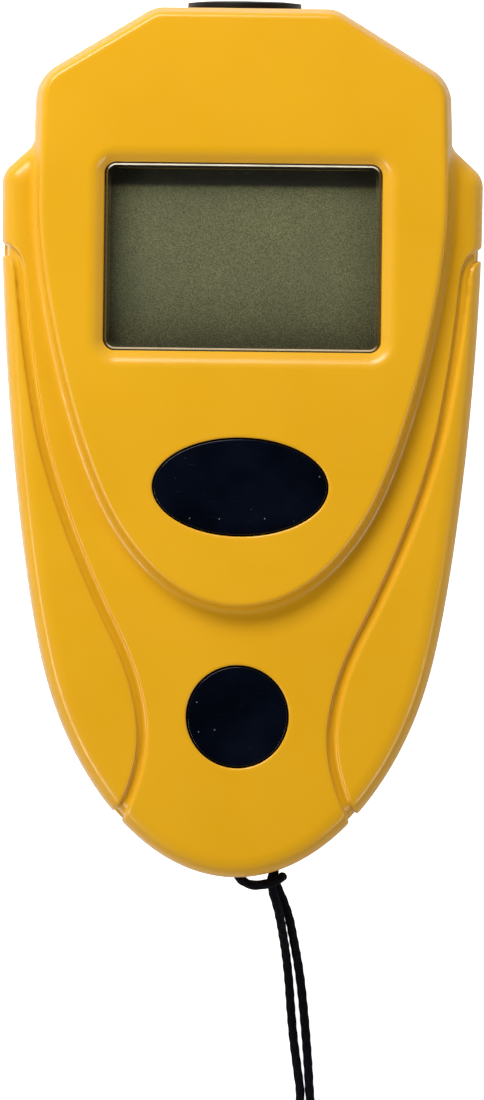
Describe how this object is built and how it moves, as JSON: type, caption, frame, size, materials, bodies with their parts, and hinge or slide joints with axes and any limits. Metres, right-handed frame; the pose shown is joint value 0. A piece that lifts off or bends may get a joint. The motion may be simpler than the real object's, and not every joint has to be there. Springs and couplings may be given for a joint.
{
  "type": "infrared thermometer",
  "caption": "Pocket infrared thermometer with a nose sensor, blank display, push buttons, battery door and braided wrist lanyard.",
  "frame": {"origin": "below the middle of the case, on the surface the thermometer lies on; the lanyard isn't counted", "axes": "+X to the right of the display, +Y towards the sensor nose, +Z out of the display face"},
  "size_m": [0.0584, 0.1687, 0.025],
  "materials": {
    "yellow_case": "satin moulded ABS with a fine texture",
    "clear_window": "polished clear acrylic",
    "black_foam": "matt black foam",
    "gloss_black": "polished black plastic with fine scratches",
    "grey_silicone": "matt moulded silicone",
    "carbon_black": "matt conductive rubber",
    "gold_pad": "gold plated copper",
    "zinc_steel": "zinc plated",
    "matte_black": "fine matt moulded plastic",
    "infrared_window": "polished infrared material",
    "nickel_steel": "nickel plated",
    "circuit_board": "green solder mask",
    "lcd_glass": "grey-green display glass",
    "reflector_film": "brushed film",
    "chip_black": "moulded epoxy",
    "ceramic_tan": "fired ceramic",
    "cell_label": "plain printed sleeve with no marks",
    "braided_cord": "braided nylon",
    "tie_strap": "woven hook and loop strap"
  },
  "bodies": {
    "case": {"front_shell": "yellow_case", "back_shell": "yellow_case", "display_window": "clear_window", "window_gasket": "black_foam", "keypad_mat": "grey_silicone", "measure_dome": "grey_silicone", "mode_dome": "grey_silicone", "contact_pads": "gold_pad", "case_screws": "zinc_steel", "board_screws": "zinc_steel", "nose_collar": "matte_black", "infrared_lens": "infrared_window", "sensor_barrel": "matte_black", "thermopile_can": "nickel_steel", "thermopile_leads": "gold_pad", "main_board": "circuit_board", "lcd_cell": "lcd_glass", "lcd_polariser": "lcd_glass", "lcd_reflector": "reflector_film", "lcd_holder": "matte_black", "zebra_strips": "carbon_black", "controller_chip": "chip_black", "converter_chip": "chip_black", "crystal": "nickel_steel", "capacitors": "ceramic_tan", "buzzer": "matte_black", "battery_left": "cell_label", "battery_right": "cell_label", "bridge_contact": "nickel_steel", "positive_contact": "nickel_steel", "negative_contact": "nickel_steel", "lanyard_cord": "braided_cord", "lanyard_hank": "braided_cord", "lanyard_tie": "tie_strap"},
    "measure_button": {"measure_button": "gloss_black", "measure_plunger": "grey_silicone", "measure_pill": "carbon_black"},
    "mode_button": {"mode_button": "gloss_black", "mode_plunger": "grey_silicone", "mode_pill": "carbon_black"},
    "battery_door": {"battery_door": "yellow_case"}
  },
  "joints": [
    {"name": "measure_press", "type": "slide", "parent": "case", "child": "measure_button", "axis": [0, 0, -1], "range_m": [0, 0.0008], "stiffness_N_per_m": 1500, "deforming": ["measure_dome"]},
    {"name": "mode_press", "type": "slide", "parent": "case", "child": "mode_button", "axis": [0, 0, -1], "range_m": [0, 0.0008], "stiffness_N_per_m": 1500, "deforming": ["mode_dome"]},
    {"name": "door_swing", "type": "hinge", "parent": "case", "child": "battery_door", "pos_m": [0, 0.011, 0.0001], "axis": [1, 0, 0], "range_deg": [0, 60]}
  ]
}
